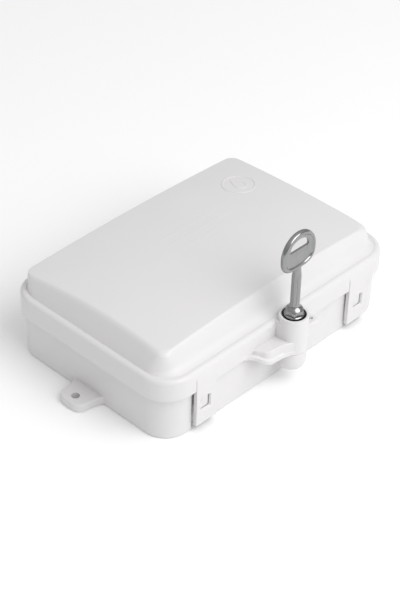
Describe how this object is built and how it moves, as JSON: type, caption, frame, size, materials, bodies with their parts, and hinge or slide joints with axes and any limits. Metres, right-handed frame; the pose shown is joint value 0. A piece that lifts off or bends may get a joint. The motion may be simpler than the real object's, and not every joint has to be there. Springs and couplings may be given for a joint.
{
  "type": "irrigation controller",
  "caption": "Lockable wall-mounted irrigation controller box with a crowned hinged lid, a key lock, cable glands, a transformer and a control panel with dial, display and push buttons.",
  "frame": {"origin": "middle of the flat mounting face on the back of the base, midway between the two lug holes", "axes": "+Z out of the mounting face towards the lid, +X along the long side, -Y towards the lock, +Y towards the hinge"},
  "size_m": [0.2352, 0.1629, 0.112],
  "materials": {
    "case_plastic": "satin",
    "gasket_rubber": "matte",
    "pin_steel": "satin",
    "gland_plastic": "satin",
    "circuit_board": "satin",
    "component_black": "matte",
    "terminal_green": "satin",
    "core_steel": "satin",
    "winding_tape": "satin",
    "cell_wrap": "satin",
    "panel_plastic": "satin",
    "display_glass": "polished",
    "window_clear": "polished",
    "led_lens": "polished",
    "key_plate": "polished",
    "lock_dark": "satin",
    "knob_plastic": "satin",
    "button_rubber": "satin"
  },
  "bodies": {
    "base": {"base_case": "case_plastic", "rim_gasket": "gasket_rubber", "hinge_pin_left": "pin_steel", "hinge_pin_right": "pin_steel", "main_board": "circuit_board", "board_screws": "pin_steel", "valve_drivers": "component_black", "terminal_block": "terminal_green", "terminal_screws": "pin_steel", "transformer_core": "core_steel", "transformer_winding": "winding_tape", "transformer_screws": "pin_steel", "battery_tray": "component_black", "backup_battery": "cell_wrap", "panel_plate": "panel_plastic", "panel_screws": "pin_steel", "display_board": "circuit_board", "display_screws": "pin_steel", "display_module": "display_glass", "display_window": "window_clear", "status_leds": "led_lens", "dial_encoder": "component_black", "key_switches": "component_black", "slide_switch": "pin_steel", "board_header": "component_black", "gland_body_1": "gland_plastic", "gland_cap_1": "gland_plastic", "gland_seal_1": "gasket_rubber", "gland_locknut_1": "gland_plastic", "gland_body_2": "gland_plastic", "gland_cap_2": "gland_plastic", "gland_seal_2": "gasket_rubber", "gland_locknut_2": "gland_plastic"},
    "lid": {"lid_shell": "case_plastic", "lock_ring": "lock_dark"},
    "lock": {"lock_barrel": "lock_dark", "lock_cam": "pin_steel", "cam_screw": "pin_steel"},
    "lock_key": {"key": "key_plate"},
    "dial": {"dial_knob": "knob_plastic"},
    "slider": {"sensor_slider": "button_rubber"},
    "push_1": {"button_1": "button_rubber"},
    "push_2": {"button_2": "button_rubber"},
    "push_3": {"button_3": "button_rubber"},
    "push_4": {"button_4": "button_rubber"}
  },
  "joints": [
    {"name": "lid_hinge", "type": "hinge", "parent": "base", "child": "lid", "pos_m": [0, 0.0743, 0.03], "axis": [-1, 0, 0], "range_deg": [0, 110]},
    {"name": "lock_turn", "type": "hinge", "parent": "lid", "child": "lock", "pos_m": [0, -0.0758, 0.036], "axis": [0, 0, 1], "range_deg": [0, 90]},
    {"name": "key_pull", "type": "slide", "parent": "lock", "child": "lock_key", "axis": [0, 0, 1], "range_m": [0, 0.022]},
    {"name": "dial_turn", "type": "hinge", "parent": "base", "child": "dial", "pos_m": [0, 0.01, 0.042], "axis": [0, 0, 1], "range_deg": [-150, 150]},
    {"name": "sensor_slide", "type": "slide", "parent": "base", "child": "slider", "axis": [1, 0, 0], "range_m": [0, 0.006]},
    {"name": "button_press_1", "type": "slide", "parent": "base", "child": "push_1", "axis": [0, 0, -1], "range_m": [0, 0.001], "stiffness_N_per_m": 1500, "springref_m": -0.0003},
    {"name": "button_press_2", "type": "slide", "parent": "base", "child": "push_2", "axis": [0, 0, -1], "range_m": [0, 0.001], "stiffness_N_per_m": 1500, "springref_m": -0.0003},
    {"name": "button_press_3", "type": "slide", "parent": "base", "child": "push_3", "axis": [0, 0, -1], "range_m": [0, 0.001], "stiffness_N_per_m": 1500, "springref_m": -0.0003},
    {"name": "button_press_4", "type": "slide", "parent": "base", "child": "push_4", "axis": [0, 0, -1], "range_m": [0, 0.001], "stiffness_N_per_m": 1500, "springref_m": -0.0003}
  ]
}
